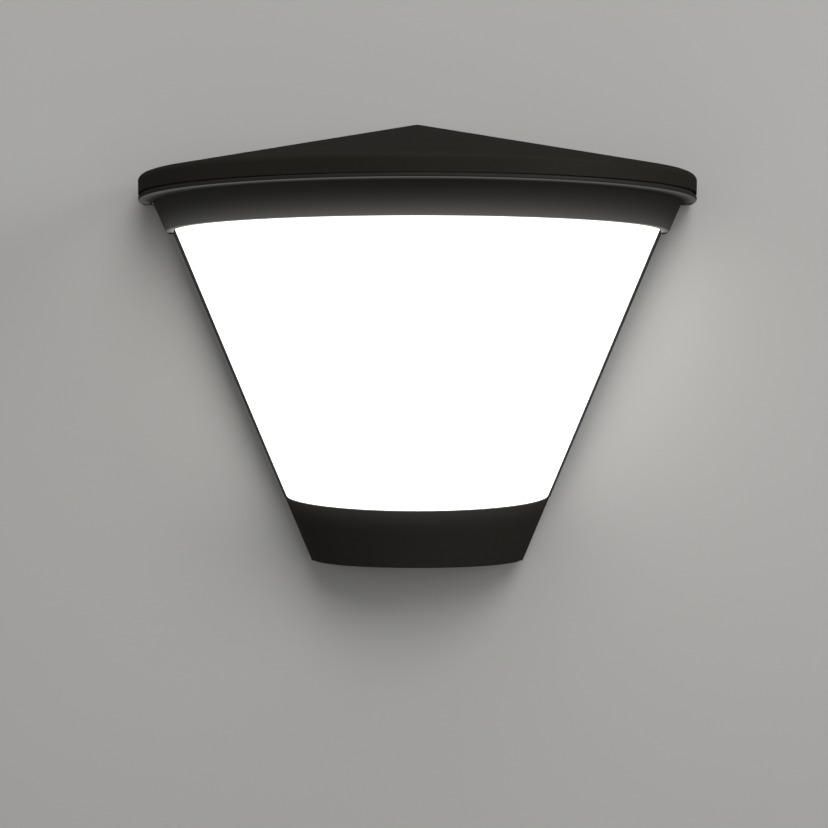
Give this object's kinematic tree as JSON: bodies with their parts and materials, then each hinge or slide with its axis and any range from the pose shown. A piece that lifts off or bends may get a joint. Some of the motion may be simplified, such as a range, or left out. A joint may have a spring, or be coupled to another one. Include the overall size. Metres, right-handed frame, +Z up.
{
  "type": "wall light",
  "caption": "Half-round outdoor wall lantern: low conical roof, dark collar, lit opal cone and base cup on a cast housing that hangs on a slotted wall bracket.",
  "frame": {"origin": "middle of the wall screw pattern, on the wall plane", "axes": "+Z up, +Y into the wall, the lamp stands out towards -Y, +X to the right seen from the front"},
  "size_m": [0.25, 0.1251, 0.2013],
  "materials": {
    "dark_coat": "satin powder coat",
    "opal": "opal, lit from inside",
    "zinc_steel": "zinc plated",
    "stainless": "turned",
    "black_rubber": "matte",
    "grey_silicone": "matte",
    "foam": "closed cell foam",
    "white_sheet": "matte",
    "white_board": "solder mask",
    "led_phosphor": "silicone phosphor",
    "white_moulding": "moulded",
    "grey_moulding": "moulded",
    "plated_brass": "tin plated",
    "brown_insulation": "silicone",
    "blue_insulation": "silicone",
    "green_yellow_insulation": "silicone, striped",
    "red_insulation": "silicone",
    "black_insulation": "silicone"
  },
  "bodies": {
    "bracket": {"wall_bracket": "zinc_steel", "cable_grommet": "black_rubber"},
    "lamp": {"housing": "dark_coat", "wall_gasket": "foam", "base_cup": "dark_coat", "base_screws": "stainless", "foot_gasket": "grey_silicone", "lock_screw": "stainless", "cap_screws": "stainless", "cap_gasket": "black_rubber", "diffuser_gasket": "grey_silicone", "reflector": "white_sheet", "led_board": "white_board", "led_packages": "led_phosphor", "led_connector": "white_moulding", "led_board_screws": "stainless", "driver_case": "grey_moulding", "driver_lid": "grey_moulding", "driver_screws": "stainless", "terminal_block": "white_moulding", "terminal_sleeves": "plated_brass", "terminal_screws": "stainless", "terminal_fixing_screw": "stainless", "earth_screw": "stainless", "earth_ring": "plated_brass", "lead_grommet": "black_rubber", "live_lead": "brown_insulation", "neutral_lead": "blue_insulation", "earth_lead": "green_yellow_insulation", "led_plus_lead": "red_insulation", "led_minus_lead": "black_insulation"},
    "opal": {"diffuser": "opal"},
    "roof": {"roof_cap": "dark_coat"}
  },
  "joints": [
    {"name": "lamp_lift", "type": "slide", "parent": "bracket", "child": "lamp", "axis": [0, 0, 1], "range_m": [0, 0.01]},
    {"name": "diffuser_draw", "type": "slide", "parent": "lamp", "child": "opal", "axis": [0, 0, 1], "range_m": [0, 0.15]},
    {"name": "cap_lift", "type": "slide", "parent": "opal", "child": "roof", "axis": [0, 0, 1], "range_m": [0, 0.06]}
  ]
}
